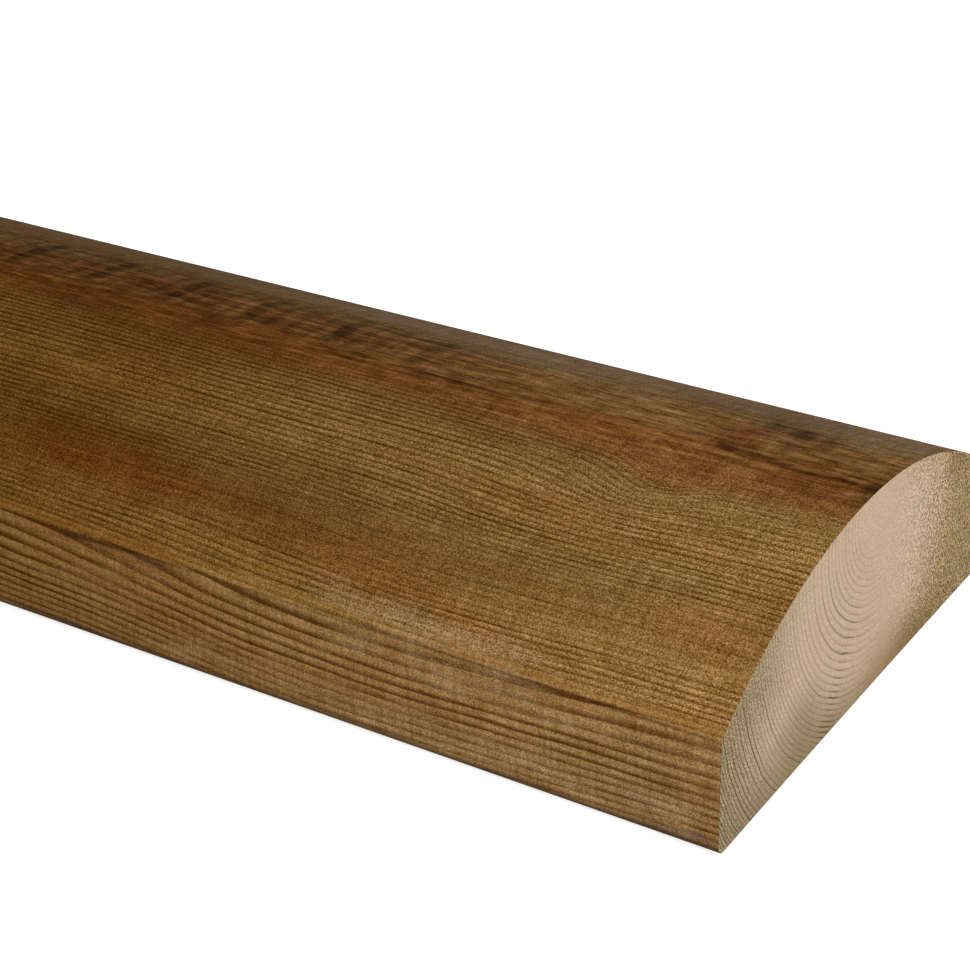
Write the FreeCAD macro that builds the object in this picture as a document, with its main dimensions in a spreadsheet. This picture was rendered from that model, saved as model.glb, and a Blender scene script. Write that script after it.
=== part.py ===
"""Stair handrail length: one planed softwood moulding with a flat foot, square sides and a crowned top.

The rail lies on its foot along X, centred on the origin, with +Z up.
"""

import FreeCAD, Part
import os
from enum import IntEnum

import Sketcher

# Driving dimensions in millimetres, each one a cell of the sheet.
DIMENSIONS = {
    "rail_length": 2400.0,
    "rail_width": 120.0,
    "rail_thickness": 45.0,
    "side_height": 25.0,
    "shoulder_radius": 1.0,
    "foot_radius": 2.0,
}

# How close two places on the rail are when they count as one, in millimetres.
SAME_PLACE = 1e-4


class Fixed(IntEnum):
    """What a sketch has before anything is drawn, by its number there."""

    ORIGIN = -1
    VERTICAL_AXIS = -2


class Point(IntEnum):
    """The points of a line or an arc, by their numbers in a sketch."""

    START = 1
    END = 2
    CENTRE = 3


def make_sheet(doc):
    """The spreadsheet that holds every driving dimension under its alias."""
    sheet = doc.addObject("Spreadsheet::Sheet", "Dimensions")
    for row, (alias, value) in enumerate(DIMENSIONS.items(), start=1):
        sheet.set(f"A{row}", alias)
        sheet.set(f"B{row}", str(value))
        sheet.setAlias(f"B{row}", alias)
    doc.recompute()
    return sheet


def plane_of(body, role):
    """One of the body's own origin planes."""
    return next(feature for feature in body.Origin.OriginFeatures if feature.Role == role)


def name_dimension(sketch, constraint, alias):
    """Adds a dimension to the sketch and binds it to the cell of that alias."""
    index = sketch.addConstraint(constraint)
    sketch.renameConstraint(index, alias)
    sketch.setExpression(f"Constraints.{alias}", f"Dimensions.{alias}")


def draw_section(body, sheet):
    """The rail's section: a level foot, two upright sides and one arc over the top."""
    width = sheet.rail_width
    thickness = sheet.rail_thickness
    side = sheet.side_height
    half_width = width / 2
    rise = thickness - side
    crown_radius = (half_width**2 + rise**2) / (2 * rise)
    crown_centre = FreeCAD.Vector(0, thickness - crown_radius, 0)
    up = FreeCAD.Vector(0, 0, 1)

    foot_left = FreeCAD.Vector(-half_width, 0, 0)
    foot_right = FreeCAD.Vector(half_width, 0, 0)
    shoulder_left = FreeCAD.Vector(-half_width, side, 0)
    shoulder_right = FreeCAD.Vector(half_width, side, 0)
    crown_top = FreeCAD.Vector(0, thickness, 0)

    sketch = body.newObject("Sketcher::SketchObject", "RailSection")
    sketch.AttachmentSupport = [(plane_of(body, "YZ_Plane"), "")]
    sketch.MapMode = "FlatFace"

    foot = sketch.addGeometry(Part.LineSegment(foot_left, foot_right))
    right_side = sketch.addGeometry(Part.LineSegment(foot_right, shoulder_right))
    crown_circle = Part.Circle(crown_centre, up, crown_radius)
    start_angle = crown_circle.parameter(shoulder_right)
    end_angle = crown_circle.parameter(shoulder_left)
    crown = sketch.addGeometry(Part.ArcOfCircle(crown_circle, start_angle, end_angle))
    left_side = sketch.addGeometry(Part.LineSegment(shoulder_left, foot_left))
    apex = sketch.addGeometry(Part.Point(crown_top), True)

    for constraint in (
        Sketcher.Constraint("Coincident", foot, Point.END, right_side, Point.START),
        Sketcher.Constraint("Coincident", right_side, Point.END, crown, Point.START),
        Sketcher.Constraint("Coincident", crown, Point.END, left_side, Point.START),
        Sketcher.Constraint("Coincident", left_side, Point.END, foot, Point.START),
        Sketcher.Constraint("Symmetric", foot, Point.START, foot, Point.END, Fixed.ORIGIN, Point.START),
        Sketcher.Constraint("Vertical", right_side),
        Sketcher.Constraint("Vertical", left_side),
        Sketcher.Constraint("Horizontal", foot),
        Sketcher.Constraint("PointOnObject", crown, Point.CENTRE, Fixed.VERTICAL_AXIS),
        Sketcher.Constraint("PointOnObject", apex, Point.START, Fixed.VERTICAL_AXIS),
        Sketcher.Constraint("PointOnObject", apex, Point.START, crown),
    ):
        sketch.addConstraint(constraint)

    across = Sketcher.Constraint("DistanceX", foot, Point.START, foot, Point.END, width)
    name_dimension(sketch, across, "rail_width")
    up_side = Sketcher.Constraint("DistanceY", right_side, Point.START, right_side, Point.END, side)
    name_dimension(sketch, up_side, "side_height")
    up_middle = Sketcher.Constraint("DistanceY", Fixed.ORIGIN, Point.START, apex, Point.START, thickness)
    name_dimension(sketch, up_middle, "rail_thickness")
    return sketch


def long_edges(shape, half_width, height):
    """Names of the edges that run the length of the rail on both sides, at this height."""
    names = []
    for number, edge in enumerate(shape.Edges, start=1):
        middle = edge.CenterOfMass
        along = abs(edge.tangentAt(edge.FirstParameter).x) > 1 - SAME_PLACE
        beside = abs(abs(middle.y) - half_width) < SAME_PLACE
        level = abs(middle.z - height) < SAME_PLACE
        if along and beside and level:
            names.append(f"Edge{number}")
    return names


def ease_edges(doc, body, base, name, height, radius_alias):
    """Rounds the two long arrises at this height, by the sheet's radius of that alias."""
    doc.recompute()
    sheet = doc.getObject("Dimensions")
    fillet = body.newObject("PartDesign::Fillet", name)
    fillet.Base = (base, long_edges(base.Shape, sheet.rail_width / 2, height))
    fillet.setExpression("Radius", f"Dimensions.{radius_alias}")
    return fillet


def make_handrail(doc, sheet):
    """The whole rail: its section run along the length, with the sawn ends left square and sharp."""
    body = doc.addObject("PartDesign::Body", "Handrail")
    body.Label = "handrail"
    body.Placement = FreeCAD.Placement()
    section = draw_section(body, sheet)

    length = body.newObject("PartDesign::Pad", "RailLength")
    length.Profile = section
    length.SideType = "Symmetric"
    length.setExpression("Length", "Dimensions.rail_length")
    section.Visibility = False

    shoulders = ease_edges(doc, body, length, "EasedShoulders", sheet.side_height, "shoulder_radius")
    feet = ease_edges(doc, body, shoulders, "EasedFoot", 0.0, "foot_radius")
    body.Tip = feet
    doc.recompute()
    return body


def check_document(doc, pieces):
    """Stops the build if any object failed or any piece isn't one sound solid."""
    for item in doc.Objects:
        if {"Invalid", "Error"} & set(item.State):
            raise RuntimeError(f"{item.Label} did not recompute: {item.State}")
    for piece in pieces:
        shape = piece.Shape
        if shape.isNull() or not shape.isValid() or len(shape.Solids) != 1:
            raise RuntimeError(f"{piece.Label} is not one valid solid")


def main():
    doc = FreeCAD.newDocument("HandrailLength")
    sheet = make_sheet(doc)
    pieces = [make_handrail(doc, sheet)]
    check_document(doc, pieces)

    os.makedirs("parts", exist_ok=True)
    for piece in pieces:
        piece.Shape.exportStep(os.path.join("parts", f"{piece.Label}.step"))
        box = piece.Shape.BoundBox
        print(f"{piece.Label}: {box.XLength:.2f} x {box.YLength:.2f} x {box.ZLength:.2f} mm")
        print(f"{piece.Label}: {piece.Shape.Volume / 1e9:.6f} cubic metres")


main()
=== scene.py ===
"""Looks of a stair handrail length: planed, brown impregnated softwood with pale sawn ends.

One piece stands for the rail. Its skin is the rail's section carried along X, and each sawn end is
a patch stretched over the same outline. Both finishes are cut from one solid block of growth rings,
so that the lines on the crown, the stripes on the sides and the arcs on the ends belong together.
"""

import math

import bpy
import numpy as np
from mathutils import Matrix, Vector


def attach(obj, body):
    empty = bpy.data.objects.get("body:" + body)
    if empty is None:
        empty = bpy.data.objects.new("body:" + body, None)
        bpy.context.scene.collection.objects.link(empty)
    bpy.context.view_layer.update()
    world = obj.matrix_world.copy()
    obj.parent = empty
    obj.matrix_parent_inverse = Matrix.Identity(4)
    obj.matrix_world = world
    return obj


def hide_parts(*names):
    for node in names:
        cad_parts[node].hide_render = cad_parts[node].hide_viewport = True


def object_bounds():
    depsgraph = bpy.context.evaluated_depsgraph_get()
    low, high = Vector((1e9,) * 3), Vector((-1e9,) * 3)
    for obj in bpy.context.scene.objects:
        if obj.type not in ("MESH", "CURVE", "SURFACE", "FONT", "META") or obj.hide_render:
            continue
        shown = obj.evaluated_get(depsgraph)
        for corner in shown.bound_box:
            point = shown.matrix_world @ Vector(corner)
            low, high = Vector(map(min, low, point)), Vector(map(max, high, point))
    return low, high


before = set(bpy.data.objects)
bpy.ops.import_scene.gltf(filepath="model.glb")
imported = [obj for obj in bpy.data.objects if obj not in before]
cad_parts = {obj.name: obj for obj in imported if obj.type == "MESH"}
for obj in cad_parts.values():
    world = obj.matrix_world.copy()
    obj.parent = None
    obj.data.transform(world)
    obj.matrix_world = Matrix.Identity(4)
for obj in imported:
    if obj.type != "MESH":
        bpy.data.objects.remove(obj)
CAD_LOW, CAD_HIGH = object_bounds()

# Sizes of the rail, in metres.
LENGTH = CAD_HIGH.x - CAD_LOW.x
WIDTH = CAD_HIGH.y - CAD_LOW.y
THICKNESS = CAD_HIGH.z - CAD_LOW.z
SIDE_HEIGHT = 0.025
SHOULDER_RADIUS = 0.001
FOOT_RADIUS = 0.002
FOOT_HOLLOW = 0.00035

# Points from which the outline is drawn: on a rounded corner, and on half the crown.
CORNER_POINTS = 200
CROWN_POINTS = 2000

# Divisions of the skin: along the rail, across its width, and up its sides. Those across and up are a
# mixture of even steps and steps that crowd towards the corners.
STATIONS_ALONG = 200
STEPS_ACROSS = 84
STEPS_UP = 18
EVEN_SHARE, CROWDED_SHARE = 0.45, 0.55

# Shares of the texture sheet: the skin takes the lower part, the two ends the strip above it.
SKIN_SHARE = 0.845
SHEET_MARGIN = 0.006

# The camera: its turns in degrees, the point on the visible end that it is set out from, how far it lies
# from there to its own right, upwards and backwards in metres, and its focal length in pixels.
CAMERA_AZIMUTH = 33.076
CAMERA_ELEVATION = 27.923
CAMERA_ROLL = -1.281
CAMERA_FOCUS = Vector((LENGTH / 2, 0.0, 0.0))
CAMERA_OFFSET = (-0.07352, 0.04174, 0.46174)
CAMERA_FOCAL_PIXELS = 2356.0
IMAGE_WIDTH = 970
SENSOR_WIDTH = 36.0
NEAREST_SEEN = 0.01

# The floor: half its size and how far it lies below the foot, in metres, its grey to other light, and
# its grey and its glow to the camera, to which it is white where nothing shades it.
FLOOR_HALF = 30.0
FLOOR_DROP = 0.0003
FLOOR_GREY = 0.8
FLOOR_GREY_SEEN = 0.55
FLOOR_GLOW_SEEN = 0.70

# Strength of the light from all round, and of the white that the camera sees there.
ROOM_LIGHT = 0.55
ROOM_WHITE_SEEN = 1.0

# Soft lamps: name, place, the point that each faces and size, in metres, and power in watts. The last one
# faces away from the visible end, and lights the length and the back beyond it.
LAMPS = (
    ("key", (LENGTH / 2 + 0.6, -0.6, 0.52), (LENGTH / 2, 0, 0.02), (0.5, 0.5), 6.2),
    ("overhead", (0.0, -0.4, 2.4), (0, 0, 0), (3.2, 1.6), 20.0),
    ("behind", (LENGTH / 2 - 0.23, 0.8, 0.9), (-LENGTH / 2, 0.8, 0.9), (0.6, 0.6), 18.0),
)

# The finishes are worked out in millimetres.
MM = 1000.0
LENGTH_MM = LENGTH * MM
HALF_MM = LENGTH_MM / 2
HALF_WIDTH_MM = WIDTH * MM / 2
ARRIS_MM = SIDE_HEIGHT * MM

# The crown's arc: its radius, and how far its centre lies below the foot.
CROWN_RISE = THICKNESS - SIDE_HEIGHT
CROWN_RADIUS = ((WIDTH / 2) ** 2 + CROWN_RISE**2) / (2 * CROWN_RISE)
CROWN_RADIUS_MM = CROWN_RADIUS * MM
CROWN_DROP_MM = (CROWN_RADIUS - THICKNESS) * MM

# The pith's place in the section at the visible end, and its drift along the rail, in millimetres.
PITH_Y, PITH_Z = 6.0, 42.0
PITH_DRIFT_Y, PITH_DRIFT_Z = -0.004, -0.006

# Width of a growth ring at the pith, and how much narrower each millimetre further out makes it.
RING_WIDTH = 1.72
RING_NARROWING = 0.0112

# Good and poor seasons follow each other outwards: the distance from one good spell to the next, and
# how far the rings are shifted by them, in millimetres.
SEASON_GAP = 31.0
SEASON_SHIFT = 0.64

# Whorls of branches: their spacing in millimetres, and how far each is turned on from the last one,
# in degrees. A branch is its place within the whorl, its angle round the pith in degrees, its radius,
# how far it pushes the rings outwards, and how far it reaches from the pith, in millimetres. It leans
# by this share of its reach, and the rings close up behind it more steeply than they open.
WHORL_GAP = 405.0
WHORL_TURN = 137.5
BRANCH_LEAN = 0.25
BRANCH_STEEPNESS = 1.8
BRANCHES = (
    (31.5, 187.0, 5.5, 7.8, 24.0),
    (52.0, 335.0, 5.0, 6.0, 70.0),
)

# The band along the crown that a feed roller has pressed dark: its two edges across the rail, the
# first of its bars from the visible end and the step from bar to bar, in millimetres, and how many
# thin bars there are to a step.
BAND_NEAR, BAND_FAR = 5.0, 24.5
BAR_START, BAR_STEP = 18.5, 22.5
THIN_BARS_TO_A_STEP = 4.0

# Marks near the visible end, such as knots, stains and worn places, and painted shade along the side's
# foot:
# their distance from it and their place across the crown, or their height on the side, then their reach
# both ways, their colour as a screen shows it, and their strength. Those on the end have their place
# across and their height first.
CROWN_MARKS = (
    ((33.5, 10.0), (8.0, 9.0), (96, 48, 23), 0.75),
    ((32.7, 4.7), (4.0, 2.8), (66, 34, 17), 0.8),
    ((35.0, -8.0), (8.0, 7.5), (104, 67, 30), 0.75),
    ((27.0, 20.5), (17.0, 8.0), (74, 53, 34), 0.65),
    ((31.0, 20.5), (3.0, 6.0), (60, 43, 27), 0.6),
    ((23.5, 19.5), (3.6, 7.5), (54, 39, 24), 0.75),
    ((18.0, 17.0), (1.8, 8.0), (76, 54, 34), 0.5),
    ((22.7, 11.0), (3.0, 5.5), (72, 46, 23), 0.6),
    ((8.0, 14.0), (13.0, 10.0), (104, 76, 48), 0.5),
    ((66.0, 14.5), (32.0, 13.0), (130, 101, 62), 0.5),
    ((62.0, 22.0), (18.0, 7.0), (130, 104, 70), 0.42),
    ((98.0, 4.0), (32.0, 4.5), (126, 92, 56), 0.4),
    ((10.0, 1.0), (27.0, 20.0), (92, 54, 25), 0.4),
    ((104.0, -47.5), (34.0, 8.0), (98, 62, 24), 0.4),
    ((62.0, -57.5), (48.0, 4.5), (152, 123, 86), 0.48),
    ((52.0, -20.0), (36.0, 14.0), (144, 110, 64), 0.25),
    ((12.0, 1.0), (18.0, 5.0), (92, 51, 24), 0.6),
    ((26.0, 3.6), (6.0, 1.3), (68, 34, 15), 0.7),
    ((19.5, 2.6), (6.0, 1.2), (64, 32, 14), 0.7),
    ((14.0, 2.4), (4.0, 1.1), (56, 29, 13), 0.85),
    ((6.6, 2.9), (4.4, 1.1), (50, 27, 13), 0.85),
    ((5.5, 5.4), (4.6, 1.2), (60, 34, 18), 0.75),
    ((0.8, 2.6), (3.6, 6.0), (54, 36, 16), 0.85),
    ((3.0, -4.5), (8.0, 4.5), (72, 48, 21), 0.6),
    ((13.0, -4.0), (18.0, 5.0), (90, 52, 24), 0.5),
    ((94.0, 2.4), (16.0, 1.4), (56, 32, 13), 0.7),
    ((119.0, 3.2), (10.0, 1.2), (62, 36, 15), 0.6),
    ((98.0, 30.0), (46.0, 14.0), (140, 120, 98), 0.42),
    ((34.0, 32.0), (30.0, 12.0), (88, 69, 50), 0.55),
    ((8.0, 32.0), (20.0, 12.0), (84, 66, 50), 0.35),
    ((9.0, 22.0), (16.0, 7.0), (84, 64, 45), 0.4),
    ((140.0, -48.0), (30.0, 8.0), (112, 66, 26), 0.35),
    ((12.0, -44.0), (18.0, 8.0), (134, 88, 45), 0.4),
)
SIDE_MARKS = (
    ((142.0, 23.8), (17.0, 1.2), (54, 33, 12), 0.8),
    ((127.0, 23.2), (9.0, 1.4), (94, 72, 58), 0.6),
    ((95.0, 22.2), (13.0, 1.3), (78, 52, 26), 0.5),
    ((38.0, 23.6), (12.0, 1.2), (80, 52, 24), 0.5),
    ((4.0, 15.0), (26.0, 13.0), (112, 79, 44), 0.5),
    # The next two are painted shade along the side's rounded foot.
    ((6.0, 2.6), (12.0, 2.6), (88, 76, 64), 0.55),
    ((152.0, 1.2), (15.0, 1.6), (66, 60, 52), 0.6),
    ((75.0, 5.0), (80.0, 8.0), (154, 122, 80), 0.4),
    ((50.0, 18.5), (42.0, 5.0), (152, 120, 80), 0.4),
    ((139.0, 15.0), (24.0, 10.0), (158, 126, 84), 0.3),
    ((40.0, 5.5), (18.0, 5.0), (162, 130, 90), 0.3),
    ((114.0, 6.0), (16.0, 5.0), (162, 132, 94), 0.4),
    ((12.0, 6.5), (14.0, 4.0), (150, 122, 86), 0.35),
)
END_MARKS = (
    ((-27.0, 8.0), (15.0, 13.0), (144, 127, 96), 0.6),
    ((-45.0, 27.0), (9.0, 10.0), (142, 127, 98), 0.3),
    ((43.0, 33.0), (9.0, 7.0), (118, 98, 64), 0.5),
)

# How deep the marks on the crown, the side and the end go, in millimetres.
CROWN_MARK_DEPTH, SIDE_MARK_DEPTH, END_MARK_DEPTH = 20.0, 6.0, 400.0

# Powers of green and blue against red, where grain darkens or lightens the stained wood.
WARM_GREEN, WARM_BLUE = 1.25, 1.9

# Noise that should have no direction along the rail is made in a place turned by these angles, in radians.
ASKEW = (0.61, 0.87, 0.43)

# Relief of both finishes, with its depth in metres, and their little sheen.
RELIEF_STRENGTH, RELIEF_DEPTH = 0.3, 0.0003
PLANED_SHEEN, SAWN_SHEEN = 0.002, 0.02
SAWN_ROUGHNESS = 0.8


def linear(red, green, blue):
    """A colour written as a screen shows it, 0 to 255, as the linear numbers that shaders take."""
    shares = np.array((red, green, blue)) / 255
    low = shares / 12.92
    high = ((shares + 0.055) / 1.055) ** 2.4
    return (*np.where(shares <= 0.04045, low, high).tolist(), 1.0)


# Colours of the planed wood on the crown and on the sides: two browns of the ground, and the late wood.
GOLDEN = linear(134, 102, 55), linear(146, 113, 70)
REDDISH = linear(130, 93, 48), linear(142, 105, 62)
LATE_WOOD = linear(82, 52, 16), linear(86, 52, 19)

# Other colours of the planed wood: round the pith and its hair lines, the knots, the bars of the dark
# band, the two lines below an arris, and the painted shade of the underside.
CORE = linear(128, 82, 40)
HAIR_LINE = linear(62, 34, 12)
KNOT = linear(92, 50, 24)
PITCH = linear(46, 32, 9)
THIN_LINE = linear(58, 36, 14)
SOFT_LINE = linear(86, 58, 32)
UNDERSIDE_SHADE = linear(74, 57, 38)

# Factors on red, green and blue for zones of the planed wood: the dark band, its far part, the painted
# sheen of the far slope near the visible end and further in, and the outer crown.
BAND_TONE = (1.08, 1.20, 1.45, 1)
HIGH_BAND_TONE = (1.0, 1.08, 1.30, 1)
SLOPE_SHEEN_TONES = (0.87, 1.04, 1.95, 1), (0.84, 1.08, 2.45, 1)
OUTER_CROWN_TONE = (0.88, 0.84, 0.80, 1)

# The same factors for painted shade, where the light falls off away from the ends: on the crown and the
# sides, round the pith, above the arrises and on the strips along them.
FALLOFF_SHADE = (0.57, 0.46, 0.28, 1), (0.72, 0.61, 0.42, 1)
FALLOFF_SHADE_CORE = (0.56, 0.45, 0.31, 1)
FALLOFF_SHADE_BY_ARRIS = (0.47, 0.33, 0.13, 1)
FALLOFF_SHADE_STRIP = (0.60, 0.48, 0.28, 1)

# Colours of the sawn ends: dry wood, wood that the stain has soaked, and the ring lines.
DRY_END = linear(192, 167, 141)
SOAKED_LEFT = linear(145, 128, 97)
SOAKED_RIGHT = linear(147, 122, 85)
SOAKED_FAR_RIGHT = linear(148, 126, 91)
SOAKED_LOW_RIGHT = linear(118, 96, 60)
END_LINE = linear(84, 66, 42)


# The rail's mesh.


def arc(centre, radius, start, end, count=CORNER_POINTS):
    """Points on a circle, from one angle to another, in radians."""
    angle = np.linspace(start, end, count)
    return np.stack([centre[0] + radius * np.cos(angle), centre[1] + radius * np.sin(angle)], 1)


def half_outline():
    """The right half of the section, from the middle of the foot up to the top of the crown.

    The foot is level, the side upright, and the crown an arc through both shoulders and the top.
    A small arc rounds the foot's corner, and another the shoulder: its centre lies one radius in
    from the side and one radius in from the crown.
    """
    half = WIDTH / 2
    crown_centre = THICKNESS - CROWN_RADIUS
    shoulder_y = half - SHOULDER_RADIUS
    shoulder_z = crown_centre + math.sqrt((CROWN_RADIUS - SHOULDER_RADIUS) ** 2 - shoulder_y**2)
    lean = math.atan2(shoulder_z - crown_centre, shoulder_y)
    foot = arc((half - FOOT_RADIUS, FOOT_RADIUS), FOOT_RADIUS, -math.pi / 2, 0)
    shoulder = arc((shoulder_y, shoulder_z), SHOULDER_RADIUS, 0, lean)
    crown = arc((0, crown_centre), CROWN_RADIUS, lean, math.pi / 2, CROWN_POINTS)
    return np.concatenate([[[0.0, 0.0]], foot, shoulder, crown])


def run_lengths(points):
    """How far along a line of points each of them lies."""
    steps = np.linalg.norm(np.diff(points, axis=0), axis=1)
    return np.concatenate([[0.0], np.cumsum(steps)])


def along_line(points, places):
    """The points that lie at these distances along a line of points."""
    lengths = run_lengths(points)
    return np.stack([np.interp(places, lengths, points[:, axis]) for axis in (0, 1)], 1)


def gathered(count):
    """Shares from 0 to 1 that crowd towards both ends, as half a cosine wave mixed with even steps."""
    even = np.linspace(0, 1, count + 1)
    return EVEN_SHARE * even + CROWDED_SHARE * (1 - np.cos(np.pi * even)) / 2


def section_edges():
    """The section's four edges, foot, right side, crown and left side, as points in turn round it.

    Each edge ends in the middle of a rounded corner, so that the four of them bound one patch.
    """
    half = half_outline()
    whole = np.concatenate([half, (half * (-1, 1))[::-1][1:]])
    around = run_lengths(whole)[-1]
    corner_half = math.pi * FOOT_RADIUS / 4
    foot_end = WIDTH / 2 - FOOT_RADIUS + corner_half
    side_end = foot_end + SIDE_HEIGHT - FOOT_RADIUS + corner_half
    marks = (-foot_end, foot_end, side_end, around - side_end, around - foot_end)
    counts = (STEPS_ACROSS, STEPS_UP, STEPS_ACROSS, STEPS_UP)
    edges = []
    for start, end, count in zip(marks[:-1], marks[1:], counts):
        places = start + (end - start) * gathered(count)
        edges.append(along_line(whole, places % around))
    return edges


def end_patch(edges):
    """The sawn end as one patch over its four edges, by the rule of a stretched sheet.

    A point is the mean of foot and crown at its place across, plus the mean of the two sides at its
    height, less the mean of the four corners, each weighted by how near it lies.
    """
    foot, right, crown, left = edges[0], edges[1], edges[2][::-1], edges[3][::-1]
    across = gathered(STEPS_ACROSS)[:, None, None]
    up = gathered(STEPS_UP)[None, :, None]
    between_levels = (1 - up) * foot[:, None] + up * crown[:, None]
    between_sides = (1 - across) * left[None] + across * right[None]
    lower = (1 - across) * foot[0] + across * foot[-1]
    upper = (1 - across) * crown[0] + across * crown[-1]
    return between_levels + between_sides - ((1 - up) * lower + up * upper)


def hollowed(section):
    """The section with its foot a little hollow across the grain, as a parabola that fades upwards."""
    share = np.clip(1 - (2 * section[..., 0] / WIDTH) ** 2, 0, 1)
    fade = np.clip(1 - section[..., 1] / SIDE_HEIGHT, 0, 1)
    lifted = section[..., 1] + FOOT_HOLLOW * share * fade
    return np.stack([section[..., 0], lifted], -1)


def cells(grid):
    """The four corners of every cell of a grid of numbers or places, in turn round the cell."""
    corners = (grid[:-1, :-1], grid[1:, :-1], grid[1:, 1:], grid[:-1, 1:])
    return np.stack(corners, 2).reshape(-1, 4, *grid.shape[2:])


def skin_faces(loop):
    """The skin's faces by the numbers of their points, and their places on the texture sheet.

    On the sheet, u is the share of the rail's length and v the share of the way round its outline.
    """
    count = len(loop)
    number = np.arange(STATIONS_ALONG + 1)[:, None] * count + np.arange(count + 1) % count
    around = run_lengths(np.concatenate([loop, loop[:1]]))
    u = SHEET_MARGIN + (1 - 2 * SHEET_MARGIN) * np.linspace(0, 1, STATIONS_ALONG + 1)
    v = SHEET_MARGIN + (SKIN_SHARE - 2 * SHEET_MARGIN) * (around / around[-1])
    place = np.stack(np.broadcast_arrays(u[:, None], v[None]), -1)
    return cells(number)[:, ::-1], cells(place)[:, ::-1]


def end_faces(flat, number, side):
    """A sawn end's faces by the numbers of their points, and their places on the texture sheet.

    Each end has one half of the strip above the skin, with u across the rail and v up it.
    """
    left = SHEET_MARGIN if side < 0 else 0.5 + SHEET_MARGIN
    u = left + (0.5 - 2 * SHEET_MARGIN) * (flat[..., 0] / WIDTH + 0.5)
    v = SKIN_SHARE + SHEET_MARGIN + (1 - SKIN_SHARE - 2 * SHEET_MARGIN) * (flat[..., 1] / THICKNESS)
    turned = slice(None, None, -1) if side < 0 else slice(None)
    return cells(number)[:, turned], cells(np.stack([u, v], -1))[:, turned]


def rim_places():
    """Places of the end patch's rim on its grid, in the outline's own order."""
    across, up = STEPS_ACROSS, STEPS_UP
    return np.concatenate([
        np.stack([np.arange(across), np.zeros(across, int)], 1),
        np.stack([np.full(up, across), np.arange(up)], 1),
        np.stack([np.arange(across, 0, -1), np.full(across, up)], 1),
        np.stack([np.zeros(up, int), np.arange(up, 0, -1)], 1),
    ])


def make_rail():
    """The rail: its outline carried along X, closed at each end by a patch that shares its points."""
    edges = section_edges()
    loop = hollowed(np.concatenate([edge[:-1] for edge in edges]))
    count = len(loop)
    skin = np.empty((STATIONS_ALONG + 1, count, 3))
    skin[..., 0] = np.linspace(-LENGTH / 2, LENGTH / 2, STATIONS_ALONG + 1)[:, None]
    skin[..., 1:] = loop
    quads, places = skin_faces(loop)
    points, faces, sheet = [skin.reshape(-1, 3)], [quads], [places]

    flat = hollowed(end_patch(edges))
    inner = flat[1:-1, 1:-1].reshape(-1, 2)
    rim = rim_places()
    total = len(points[0])
    for side, station in ((-1, 0), (1, STATIONS_ALONG)):
        number = np.empty((STEPS_ACROSS + 1, STEPS_UP + 1), int)
        number[1:-1, 1:-1] = total + np.arange(len(inner)).reshape(STEPS_ACROSS - 1, STEPS_UP - 1)
        number[rim[:, 0], rim[:, 1]] = station * count + np.arange(count)
        total += len(inner)
        points.append(np.column_stack([np.full(len(inner), side * LENGTH / 2), inner]))
        quads, places = end_faces(flat, number, side)
        faces.append(quads)
        sheet.append(places)

    is_end = np.arange(sum(map(len, faces))) >= len(faces[0])
    mesh = bpy.data.meshes.new("rail")
    mesh.from_pydata(np.concatenate(points), [], np.concatenate(faces).tolist())
    mesh.polygons.foreach_set("use_smooth", ~is_end)
    mesh.polygons.foreach_set("material_index", is_end.astype(np.int32))
    layout = mesh.uv_layers.new(name="OFBake")
    layout.uv.foreach_set("vector", np.concatenate(sheet).astype(np.float32).ravel())
    mesh.update()
    rail = bpy.data.objects.new("rail", mesh)
    bpy.context.scene.collection.objects.link(rail)
    return rail


# Shader building blocks.


class Value:
    """An output socket on which Python's operators add Math nodes."""

    def __init__(self, shader, socket):
        self.shader = shader
        self.socket = socket

    def __add__(self, other):
        return self.shader.math("ADD", self, other)

    def __sub__(self, other):
        return self.shader.math("SUBTRACT", self, other)

    def __rsub__(self, other):
        return self.shader.math("SUBTRACT", other, self)

    def __mul__(self, other):
        return self.shader.math("MULTIPLY", self, other)

    def __truediv__(self, other):
        return self.shader.math("DIVIDE", self, other)

    def __pow__(self, other):
        return self.shader.math("POWER", self, other)

    def __abs__(self):
        return self.shader.math("ABSOLUTE", self)

    __radd__ = __add__
    __rmul__ = __mul__


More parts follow.
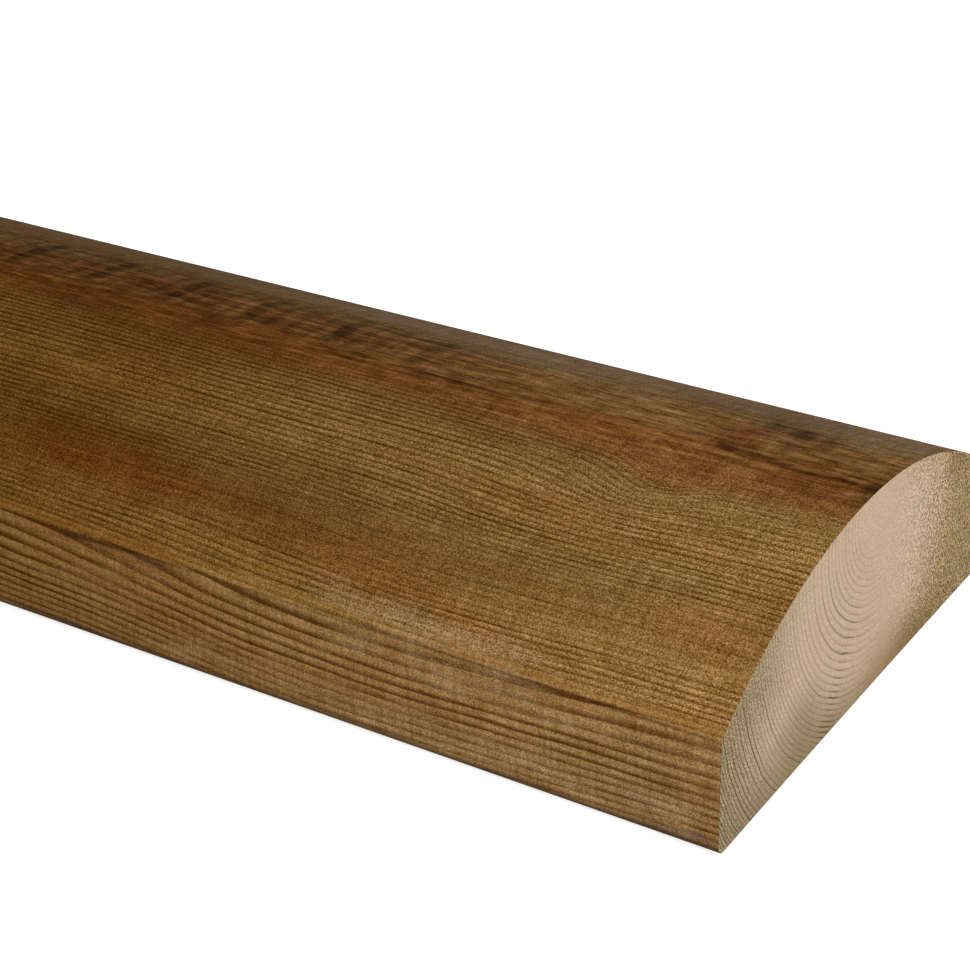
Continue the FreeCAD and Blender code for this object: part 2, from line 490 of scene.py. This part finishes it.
class Shader:
    """The node tree of a material or of the world, with one method that adds any node to it."""

    def __init__(self, owner):
        owner.use_nodes = True
        self.owner = owner
        self.output_kind = "ShaderNodeOutputMaterial"
        if isinstance(owner, bpy.types.World):
            self.output_kind = "ShaderNodeOutputWorld"
        self.tree = owner.node_tree
        self.tree.nodes.clear()

    def node(self, kind, settings, sockets, output=0):
        """Adds a node: its settings first, then the value or link of each socket by name or number."""
        made = self.tree.nodes.new(kind)
        for name, setting in settings.items():
            setattr(made, name, setting)
        for key, value in sockets.items():
            socket = made.inputs[key]
            if isinstance(value, Value):
                self.tree.links.new(value.socket, socket)
            else:
                socket.default_value = value
        return Value(self, made.outputs[output])

    def math(self, operation, *terms):
        """A Math node."""
        return self.node("ShaderNodeMath", {"operation": operation}, dict(enumerate(terms)))

    def vector(self, operation, *terms, output=0):
        """A Vector Math node."""
        return self.node("ShaderNodeVectorMath", {"operation": operation}, dict(enumerate(terms)), output)

    def smooth(self, value, low, high):
        """0 below low, 1 above high, with an S-shaped rise between them."""
        settings = {"interpolation_type": "SMOOTHSTEP"}
        sockets = {"Value": value, "From Min": low, "From Max": high}
        return self.node("ShaderNodeMapRange", settings, sockets)

    def hump(self, value, centre, reach):
        """1 at the centre, falling to 0 at the reach on either side of it."""
        return 1 - self.smooth(abs(value - centre), 0.0, reach)

    def noise(self, place, stretch, detail=2.0, roughness=0.5, output=0):
        """Soft noise from 0 to 1, whose patches are one over these factors long along X, Y and Z."""
        sockets = {
            "Vector": self.vector("MULTIPLY", place, stretch),
            "Scale": 1.0,
            "Detail": detail,
            "Roughness": roughness,
        }
        return self.node("ShaderNodeTexNoise", {}, sockets, output)

    def askew(self, place):
        """A place turned out of line with the rail."""
        settings = {"rotation_type": "EULER_XYZ"}
        return self.node("ShaderNodeVectorRotate", settings, {"Vector": place, "Rotation": ASKEW})

    def mix(self, share, first, second, blend="MIX"):
        """One colour laid over another by this share."""
        settings = {"data_type": "RGBA", "blend_type": blend}
        return self.node("ShaderNodeMix", settings, {0: share, 6: first, 7: second}, 2)

    def shaded(self, colour, amount):
        """A colour made lighter or darker by a factor."""
        grey = self.node("ShaderNodeCombineColor", {}, {0: amount, 1: amount, 2: amount})
        return self.mix(1.0, colour, grey, "MULTIPLY")

    def warmed(self, colour, amount):
        """A colour made lighter or darker by a factor, so that its dark parts turn a warmer brown."""
        green = amount ** WARM_GREEN
        blue = amount ** WARM_BLUE
        tone = self.node("ShaderNodeCombineColor", {}, {0: amount, 1: green, 2: blue})
        return self.mix(1.0, colour, tone, "MULTIPLY")

    def looked_at(self):
        """1 to what the camera sees, directly, in a reflection or through glass, and 0 to other light."""
        rays = ("Is Camera Ray", "Is Glossy Ray", "Is Transmission Ray")
        camera, glossy, through = (self.node("ShaderNodeLightPath", {}, {}, ray) for ray in rays)
        return self.math("MAXIMUM", self.math("MAXIMUM", camera, glossy), through)

    def wooden(self, colour, roughness, sheen, height):
        """Finishes the material as wood of this colour, with a fine relief of this height."""
        relief = {"Height": height, "Strength": RELIEF_STRENGTH, "Distance": RELIEF_DEPTH}
        surface = self.node("ShaderNodeBsdfPrincipled", {}, {
            "Base Color": colour,
            "Roughness": roughness,
            "Specular IOR Level": sheen,
            "Normal": self.node("ShaderNodeBump", {}, relief),
        })
        return self.finish(surface)

    def finish(self, surface):
        """Sends a surface shader to the output of the material or the world, and gives that back."""
        output = self.tree.nodes.new(self.output_kind)
        self.tree.links.new(surface.socket, output.inputs["Surface"])
        return self.owner


class Wood:
    """The block of growth rings that the rail is cut from, in millimetres.

    Rings are circles round a pith that drifts along the rail. Their radius is bent by slow noise and
    by branches, and turned into a count of rings that get narrower outwards:
    count = -ln(1 - narrowing * radius / width) / narrowing.
    """

    def __init__(self, shader, has_branches):
        self.shader = shader
        coordinates = shader.node("ShaderNodeTexCoord", {}, {}, "Object")
        self.place = shader.vector("MULTIPLY", coordinates, (MM, MM, MM))
        split = shader.node("ShaderNodeSeparateXYZ", {}, {0: self.place}).socket.node
        self.x, self.y, self.z = (Value(shader, socket) for socket in split.outputs)
        self.from_end = HALF_MM - self.x
        wander = shader.noise(self.place, (0.006, 0.0, 0.0), 0.0)
        self.out_y = self.y - self.from_end * PITH_DRIFT_Y - PITH_Y + (wander - 0.5) * 4.0
        self.out_z = self.z - self.from_end * PITH_DRIFT_Z - PITH_Z
        self.radius = shader.math("SQRT", self.out_y * self.out_y + self.out_z * self.out_z)
        slow = shader.noise(self.place, (0.012, 0.03, 0.03), 1.0)
        quick = shader.noise(self.place, (0.045, 0.16, 0.16), 1.0)
        seasons = shader.math("SINE", (self.radius - SEASON_GAP) * (2 * math.pi / SEASON_GAP))
        noisy = (slow - 0.5) * 2.2 + (quick - 0.5) * 0.45
        self.bent = self.radius - seasons * SEASON_SHIFT + noisy + self.sway()
        self.knots = None
        if has_branches:
            self.grow_branches()
        inside = 1 - self.bent * (RING_NARROWING / RING_WIDTH)
        self.count = shader.math("LOGARITHM", inside, math.e) * (-1 / RING_NARROWING)
        self.phase = shader.math("FRACT", self.count)
        number = shader.math("FLOOR", self.count)
        settings = {"noise_dimensions": "1D"}
        self.ring_strength = shader.node("ShaderNodeTexWhiteNoise", settings, {"W": number})

    def sway(self):
        """How far the rings run out of line near the visible end.

        They bulge outwards past the first branch, in a wave that lies further from the end and gets
        longer the further out it is, and then draw in a little. The outermost ones, on the sides, run
        outwards from the end itself, and draw in more.
        """
        shader = self.shader
        beyond = shader.math("MINIMUM", self.radius, 66.0) - 30.0
        away = abs(self.from_end - 42.0 - beyond * 1.08) / (beyond * 0.9 + 42.0)
        bulge = (1 - shader.smooth(away, 0.0, 1.0)) * shader.smooth(self.radius, 8.0, 28.0)
        outermost = shader.smooth(self.radius, 56.0, 70.0)
        from_start = shader.smooth(self.from_end, 0.0, 45.0) * outermost
        drawn_in = shader.smooth(self.from_end, 100.0, 200.0) * (outermost * 1.2 + 1.4)
        return drawn_in - bulge * (2.3 - outermost * 0.9) - from_start * 0.6

    def grow_branches(self):
        """Pushes the rings outwards round two branches in every whorl, and notes where they show.

        A branch is a cone that leaves the pith. Its angle turns on from whorl to whorl, and the push
        falls off as a bell curve of the distance from its axis, more steeply on one side.
        """
        shader = self.shader
        whorl = shader.math("FLOOR", self.from_end / WHORL_GAP)
        local = self.from_end - whorl * WHORL_GAP
        knots = []
        for start, degrees, size, push, length in BRANCHES:
            turn = whorl * math.radians(WHORL_TURN) + math.radians(degrees)
            cosine = shader.math("COSINE", turn)
            sine = shader.math("SINE", turn)
            outwards = self.out_y * cosine + self.out_z * sine
            sideways = self.out_z * cosine - self.out_y * sine
            lengthways = local - start - outwards * BRANCH_LEAN
            lengthways = shader.math("MAXIMUM", lengthways, lengthways * -BRANCH_STEEPNESS)
            away = shader.math("SQRT", lengthways * lengthways + sideways * sideways)
            thick = shader.math("MAXIMUM", outwards, 0.0) * (0.5 / 40) + 0.6
            share = away / (thick * size)
            faded = 1 - shader.smooth(outwards, 0.5 * length, 1.5 * length)
            within = shader.smooth(outwards, -2.0, 4.0) * faded
            bell = shader.math("EXPONENT", share * share * -0.16)
            self.bent = self.bent - bell * within * push
            knots.append(within * (1 - shader.smooth(share, 0.75, 1.1)))
        self.knots = shader.math("MAXIMUM", *knots)

    def late(self, low, high):
        """The dark late wood of each ring: it rises slowly and ends sharply."""
        shader = self.shader
        rise = shader.smooth(self.phase, low, high)
        fall = 1 - shader.smooth(self.phase, 0.93, 1.0)
        return rise * fall

    def spot(self, centre, reach, raggedness):
        """1 in the middle of an oval patch, falling to 0 about its reach along X, Y and Z.

        The centre is given by its distance from the visible end, its place across and its height.
        Raggedness is a vector of shares of the reach, by which the patch is pulled out of shape.
        """
        shader = self.shader
        middle = (HALF_MM - centre[0], centre[1], centre[2])
        away = shader.vector("DIVIDE", shader.vector("SUBTRACT", self.place, middle), reach)
        away = shader.vector("ADD", away, raggedness)
        return 1 - shader.smooth(shader.vector("LENGTH", away, output="Value"), 0.15, 1.0)


def planed_finish():
    """Planed faces: brown stain over growth rings, redder near the pith, with a dark band and knots."""
    shader = Shader(bpy.data.materials.new("planed_impregnated_wood"))
    wood = Wood(shader, True)
    fibre = shader.noise(wood.place, (0.06, 1.1, 1.1), 2.0, 0.65)
    specks = shader.noise(shader.askew(wood.place), (3.1, 3.1, 3.1), 1.0, 0.8)
    stipple = shader.smooth(specks, 0.3, 0.7)
    patches = shader.noise(wood.place, (0.018, 0.07, 0.07), 2.0)
    blotches = shader.noise(wood.place, (0.11, 0.62, 0.62), 3.0, 0.7)
    ripples = shader.noise(wood.place, (0.95, 0.12, 0.12), 1.0)
    rough_edges = shader.noise(wood.place, (0.09, 0.35, 0.35), 2.0, 0.6, "Color")
    ragged = shader.vector("SUBTRACT", rough_edges, (0.5, 0.5, 0.5))
    ragged = shader.vector("MULTIPLY", ragged, (1.8, 1.8, 1.8))
    swayed = shader.vector("MULTIPLY_ADD", ragged, (8.0, 1.4, 1.4), wood.place)
    dashes = shader.noise(swayed, (0.055, 0.5, 0.5), 1.0)

    # Zones across the section: side or crown, a pale strip on the crown's arris, the outer crown
    # with faint rings, the far slope with next to none, and the dark band beside the top.
    from_middle = abs(wood.y)
    on_side = 1 - shader.smooth(wood.z, ARRIS_MM - 0.5, ARRIS_MM + 0.1)
    on_crown = 1 - on_side
    strip = shader.smooth(from_middle, 57.5, 59.0) * on_crown
    by_knot = shader.smooth(wood.y, -28.0, -16.0) * (1 - shader.smooth(wood.from_end, 28.0, 42.0))
    outer_crown = shader.hump(from_middle, 46.5, 10.5) * on_crown
    wavy_y = wood.y + (patches - 0.5) * 3.0
    far_slope = shader.smooth(wavy_y, BAND_FAR - 3.5, BAND_FAR + 7.0) * on_crown
    plain_slope = far_slope * (1 - shader.smooth(wood.y, 40.0, 54.0))
    beyond_near = shader.smooth(wavy_y, BAND_NEAR - 2.0, BAND_NEAR + 2.0)
    band = beyond_near * (1 - shader.smooth(wavy_y, BAND_FAR - 1.5, BAND_FAR + 0.8)) * on_crown
    beyond_pith = shader.smooth(wood.y, -8.0, 4.0) * on_crown

    # Ring lines on a ground that drifts between golden and reddish brown.
    broken = shader.smooth(dashes, 0.3, 0.65) * 0.45 + 0.75
    uneven = wood.ring_strength * 0.35 + 0.8
    faint = outer_crown * (0.8 - shader.smooth(wood.ring_strength, 0.72, 0.9) * 0.4)
    crown_lines = broken * uneven * (1 - faint) * (1 - plain_slope * 0.85) * (1 - band * 0.5)
    crown_lines = crown_lines * (0.88 - by_knot * on_crown * 0.4)
    side_lines = (wood.ring_strength * 0.3 + 0.8) * (dashes * 0.8 + 0.66)
    lines = wood.late(0.3, 0.88) * (crown_lines * on_crown + side_lines * on_side) * (1 - strip * 0.5)
    golden = shader.mix(on_side, *GOLDEN)
    reddish = shader.mix(on_side, *REDDISH)
    ground = shader.mix(shader.smooth(patches, 0.42, 0.64), golden, reddish)
    colour = shader.mix(lines, ground, shader.mix(on_side, *LATE_WOOD))
    years = shader.math("COSINE", (wood.bent - SEASON_GAP) * (2 * math.pi / SEASON_GAP))
    colour = shader.shaded(colour, years * 0.1 + 1.0)

    # The wood round the pith is redder and shows few rings, only dark hair lines.
    core = 1 - shader.smooth(wood.bent, 9.0, 19.5)
    colour = shader.mix(core * 0.7, colour, CORE)
    hairs = shader.smooth(fibre * 0.6 + dashes * 0.4, 0.49, 0.60) * core * (1 - plain_slope)
    colour = shader.mix(hairs * 0.5, colour, HAIR_LINE)
    colour = shader.mix(wood.knots * 0.7, colour, KNOT)

    # The dark band: bars at even steps, fainter ones between them, and streaks along the grain. The wood
    # between the bars is paler, most of all along the band's far edge.
    turn = (wood.from_end - BAR_START + (patches - 0.5) * 6.0) * (2 * math.pi / BAR_STEP)
    wide_bars = shader.smooth(shader.math("COSINE", turn), 0.7, 1.0)
    thin_bars = shader.smooth(shader.math("COSINE", turn * THIN_BARS_TO_A_STEP), 0.0, 1.0)
    groups = shader.noise(shader.vector("ADD", wood.place, (60.0, 0.0, 0.0)), (0.02, 0.0, 0.0), 1.0)
    inner = shader.smooth(wood.from_end, 70.0, 130.0) * (shader.smooth(groups, 0.3, 0.5) * 0.6 + 0.4)
    bars = shader.math("MAXIMUM", wide_bars, thin_bars * (patches * 0.9 + 0.1))
    streaks = shader.smooth(dashes, 0.35, 0.65) * 0.4 + 0.65
    pitch = band * (inner * 0.75 + 0.25) * (bars * 0.62 + 0.18) * streaks
    colour = shader.mix(band, colour, BAND_TONE, "MULTIPLY")
    high_band = band * shader.smooth(wood.y, 13.0, 21.0) * shader.smooth(wood.from_end, 40.0, 60.0)
    colour = shader.mix(high_band, colour, HIGH_BAND_TONE, "MULTIPLY")
    colour = shader.mix(pitch, colour, PITCH)

    # The far slope is greyer, a painted sheen where it is seen at a grazing angle, more so further from
    # the visible end, and the outer crown a little darker.
    slope_sheen = shader.mix(shader.smooth(wood.from_end, 40.0, 110.0), *SLOPE_SHEEN_TONES)
    colour = shader.mix(far_slope, colour, slope_sheen, "MULTIPLY")
    colour = shader.mix(outer_crown, colour, OUTER_CROWN_TONE, "MULTIPLY")

    # Marks near the visible end.
    for (from_end, across), (along, sideways), tone, strength in CROWN_MARKS:
        height = math.sqrt(CROWN_RADIUS_MM**2 - across**2) - CROWN_DROP_MM
        oval = wood.spot((from_end, across, height), (along, sideways, CROWN_MARK_DEPTH), ragged)
        colour = shader.mix(oval * strength, colour, linear(*tone))
    for (from_end, height), (along, upright), tone, strength in SIDE_MARKS:
        oval = wood.spot((from_end, -HALF_WIDTH_MM, height), (along, SIDE_MARK_DEPTH, upright), ragged)
        colour = shader.mix(oval * strength * on_side, colour, linear(*tone))

    # A thin dark line runs just below each arris, over a softer brown one. The arris itself is lighter, a
    # painted highlight where its rounding catches the light.
    unsure = (patches - 0.5) * 2.4
    thin_line = shader.hump(wood.z, ARRIS_MM - 0.7, 0.75) * on_side
    thin_line = thin_line * (shader.smooth(unsure, -0.5, 0.5) * 0.4 + 0.3)
    soft_line = shader.hump(wood.z + unsure, ARRIS_MM - 2.6, 2.2) * on_side
    colour = shader.mix(thin_line, colour, THIN_LINE)
    colour = shader.mix(soft_line * 0.12, colour, SOFT_LINE)
    arris_highlight = shader.hump(wood.z, ARRIS_MM + 0.4, 0.6)
    colour = shader.shaded(colour, arris_highlight * 0.14 + 1.0)

    # Painted shade, for light that falls off away from the ends: the wood darkens inwards, most of all
    # just above the arrises, and then turns lighter again.
    from_nearer_end = shader.math("MINIMUM", wood.from_end, LENGTH_MM - wood.from_end)
    painted_falloff = shader.smooth(from_nearer_end, -20.0, 210.0) * (patches * 0.4 + 0.8)
    painted_falloff = painted_falloff * (1 - shader.smooth(from_nearer_end, 230.0, 620.0) * 0.7)
    by_arris = shader.hump(from_middle, 44.5, 20.0) * on_crown
    falloff_tone = shader.mix(on_side, *FALLOFF_SHADE)
    falloff_tone = shader.mix(core * on_crown, falloff_tone, FALLOFF_SHADE_CORE)
    falloff_tone = shader.mix(by_arris * 0.85, falloff_tone, FALLOFF_SHADE_BY_ARRIS)
    falloff_tone = shader.mix(strip * 0.8, falloff_tone, FALLOFF_SHADE_STRIP)
    colour = shader.mix(painted_falloff, colour, falloff_tone, "MULTIPLY")

    # Fine grain: specks, fibres, mottling beside the pith and faint planing ripples across the rings.
    mid_crown = shader.hump(from_middle, 23.0, 22.0) * on_crown
    speckled = (stipple - 0.5) * (0.54 - beyond_pith * 0.28 - on_side * 0.16 + mid_crown * 0.14)
    speckled = speckled * (1 - strip * 0.3)
    fibrous = (fibre - 0.5) * (0.55 - plain_slope * 0.35)
    mottled = (blotches - 0.5) * (beyond_pith * 0.85 + core * 0.5 + on_crown * 0.2)
    mottled = mottled * (1 - plain_slope * 0.7)
    rippled = (ripples - 0.5) * 0.3
    grain = speckled + fibrous + mottled + rippled + 1.0 - beyond_pith * 0.05
    colour = shader.warmed(colour, grain * grain)

    # The foot's rounded arrises and the underside are greyer: painted shade where they face down.
    under_shade = 1 - shader.smooth(wood.z, 0.8, 3.2)
    colour = shader.mix(under_shade * 0.8, colour, UNDERSIDE_SHADE)

    roughness = stipple * 0.1 - lines * 0.08 + 0.55
    return shader.wooden(colour, roughness, PLANED_SHEEN, fibre * 0.6 + stipple * 0.25)


def sawn_finish():
    """Sawn ends: pale heartwood with fine ring lines, and olive margins where the stain has soaked in."""
    shader = Shader(bpy.data.materials.new("sawn_end_grain"))
    wood = Wood(shader, False)
    turned = shader.askew(wood.place)
    stipple = shader.smooth(shader.noise(turned, (2.8, 2.8, 2.8), 1.0, 0.8), 0.3, 0.7)
    tufts = shader.smooth(shader.noise(turned, (2.1, 2.1, 2.1), 1.0, 0.8), 0.3, 0.7)
    patches = shader.noise(wood.place, (0.0123, 0.08, 0.08), 2.0)
    shift = (patches - 0.5) * 14.0

    # How far the stain has soaked in from the two sides, the foot and the crown.
    y = wood.y + shift
    z = wood.z + shift * 0.6
    from_left = 1 - shader.smooth(y - (z - 18.0) * 0.35, -62.0, -28.0)
    from_foot = 1 - shader.smooth(z + shader.hump(y, -5.0, 24.0) * 4.0, -1.0, 16.0)
    from_right = shader.smooth(y - (z - 12.0) * 0.2, 14.0, 48.0)
    crown_height = shader.math("SQRT", CROWN_RADIUS_MM**2 - wood.y * wood.y) - CROWN_DROP_MM
    from_crown = 1 - shader.smooth(crown_height - wood.z, -1.0, 8.0)
    towards_right = shader.smooth(wood.y, 6.0, 26.0) * 0.38 + shader.smooth(wood.y, 32.0, 44.0) * 0.52
    from_crown = from_crown * towards_right
    dry = (1 - from_left) * (1 - from_foot) * (1 - from_right) * (1 - from_crown)
    rightwards = shader.smooth(wood.y, -30.0, 20.0)
    soaked = shader.mix(rightwards, SOAKED_LEFT, SOAKED_RIGHT)
    far_right = shader.smooth(wood.y, 36.0, 46.0)
    soaked = shader.mix(far_right, soaked, SOAKED_FAR_RIGHT)
    colour = shader.mix(dry, soaked, DRY_END)
    for place, reach, tone, strength in END_MARKS:
        oval = wood.spot((0.0, *place), (END_MARK_DEPTH, *reach), (0.0, 0.0, 0.0))
        colour = shader.mix(oval * strength, colour, linear(*tone))
    low_right = (1 - shader.smooth(wood.z, 1.0, 10.0)) * shader.hump(wood.y, 27.0, 18.0)
    colour = shader.mix(low_right * 0.5, colour, SOAKED_LOW_RIGHT)

    # Ring lines are plain on the left and along one radius, and lost in the saw's fuzz on the right.
    clear = 1 - shader.smooth(wood.y, -16.0, 16.0)
    angle = shader.math("ARCTAN2", wood.out_z, wood.out_y)
    ladder = shader.hump(angle, math.radians(-119.0), math.radians(7.0))
    ladder = ladder * shader.smooth(wood.radius, 16.0, 42.0)
    low_left = shader.smooth(angle, math.radians(-178.0), math.radians(-150.0))
    outer = shader.smooth(wood.radius, 4.0, 20.0)
    uneven = wood.ring_strength * wood.ring_strength * 0.7 + 0.5
    corner = from_left * (1 - shader.smooth(wood.z, 12.0, 30.0))
    arcs = clear * (outer * 0.5 + 0.1) * (low_left * 0.4 + 0.6)
    strength = arcs + ladder * 0.8 + corner * 0.9 + from_left * 0.3
    lines = wood.late(0.55, 0.93) * uneven * strength
    colour = shader.mix(lines, colour, END_LINE)
    fine_fuzz = (stipple - 0.5) * (from_left * 0.5 + 0.17)
    coarse_fuzz = (tufts - 0.5) * shader.smooth(wood.y, 4.0, 40.0) * 0.82
    roughened = fine_fuzz + coarse_fuzz + 1.0
    colour = shader.shaded(colour, roughened * roughened)

    return shader.wooden(colour, SAWN_ROUGHNESS, SAWN_SHEEN, stipple * 0.4 - lines * 0.4)


# Floor, light and camera.


def make_floor():
    """A large pale floor, white to the camera where nothing shades it."""
    corners = FLOOR_HALF * np.array([(-1, -1), (1, -1), (1, 1), (-1, 1)])
    points = np.column_stack([corners, np.full(4, -FLOOR_DROP)])
    mesh = bpy.data.meshes.new("floor")
    mesh.from_pydata(points, [], [(0, 1, 2, 3)])
    floor = bpy.data.objects.new("floor", mesh)
    bpy.context.scene.collection.objects.link(floor)

    shader = Shader(bpy.data.materials.new("pale_floor"))
    greys = ((FLOOR_GREY,) * 3 + (1,), (FLOOR_GREY_SEEN,) * 3 + (1,))
    plain, shaded = (shader.node("ShaderNodeBsdfDiffuse", {}, {"Color": grey}) for grey in greys)
    glow = shader.node("ShaderNodeEmission", {}, {"Color": (1, 1, 1, 1), "Strength": FLOOR_GLOW_SEEN})
    seen = shader.node("ShaderNodeAddShader", {}, {0: shaded, 1: glow})
    surface = shader.node("ShaderNodeMixShader", {}, {0: shader.looked_at(), 1: plain, 2: seen})
    mesh.materials.append(shader.finish(surface))


def make_world():
    """Soft light from all round, white to the camera."""
    shader = Shader(bpy.data.worlds.new("studio"))
    strengths = (ROOM_LIGHT, ROOM_WHITE_SEEN)
    sockets = ({"Color": (1, 1, 1, 1), "Strength": strength} for strength in strengths)
    soft, white = (shader.node("ShaderNodeBackground", {}, values) for values in sockets)
    surface = shader.node("ShaderNodeMixShader", {}, {0: shader.looked_at(), 1: soft, 2: white})
    bpy.context.scene.world = shader.finish(surface)


def make_lamp(name, place, target, size, power):
    """An oblong soft box that faces a point."""
    light = bpy.data.lights.new(name, "AREA")
    light.shape = "RECTANGLE"
    light.size, light.size_y = size
    light.energy = power
    lamp = bpy.data.objects.new(name, light)
    lamp.location = place
    lamp.rotation_mode = "QUATERNION"
    lamp.rotation_quaternion = (Vector(target) - Vector(place)).to_track_quat("-Z", "Y")
    bpy.context.scene.collection.objects.link(lamp)


def make_camera():
    """The camera, turned by azimuth and elevation, then rolled about its own line of sight."""
    azimuth, elevation, roll = (math.radians(a) for a in (CAMERA_AZIMUTH, CAMERA_ELEVATION, CAMERA_ROLL))
    back = Vector((
        math.sin(azimuth) * math.cos(elevation),
        -math.cos(azimuth) * math.cos(elevation),
        math.sin(elevation),
    ))
    level = Vector((math.cos(azimuth), math.sin(azimuth), 0.0))
    upright = back.cross(level)
    right = math.cos(roll) * level + math.sin(roll) * upright
    up = math.cos(roll) * upright - math.sin(roll) * level
    data = bpy.data.cameras.new("camera")
    data.sensor_width = SENSOR_WIDTH
    data.lens = CAMERA_FOCAL_PIXELS / IMAGE_WIDTH * SENSOR_WIDTH
    data.clip_start = NEAREST_SEEN
    camera = bpy.data.objects.new("camera", data)
    place = CAMERA_FOCUS + right * CAMERA_OFFSET[0] + up * CAMERA_OFFSET[1] + back * CAMERA_OFFSET[2]
    turned = Matrix((right, up, back)).transposed().to_4x4()
    camera.matrix_world = Matrix.Translation(place) @ turned
    bpy.context.scene.collection.objects.link(camera)
    bpy.context.scene.camera = camera


rail = make_rail()
rail.data.materials.append(planed_finish())
rail.data.materials.append(sawn_finish())
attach(rail, "root")
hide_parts("handrail")

make_floor()
make_world()
for lamp in LAMPS:
    make_lamp(*lamp)
make_camera()

bpy.context.scene.view_settings.view_transform = "Standard"
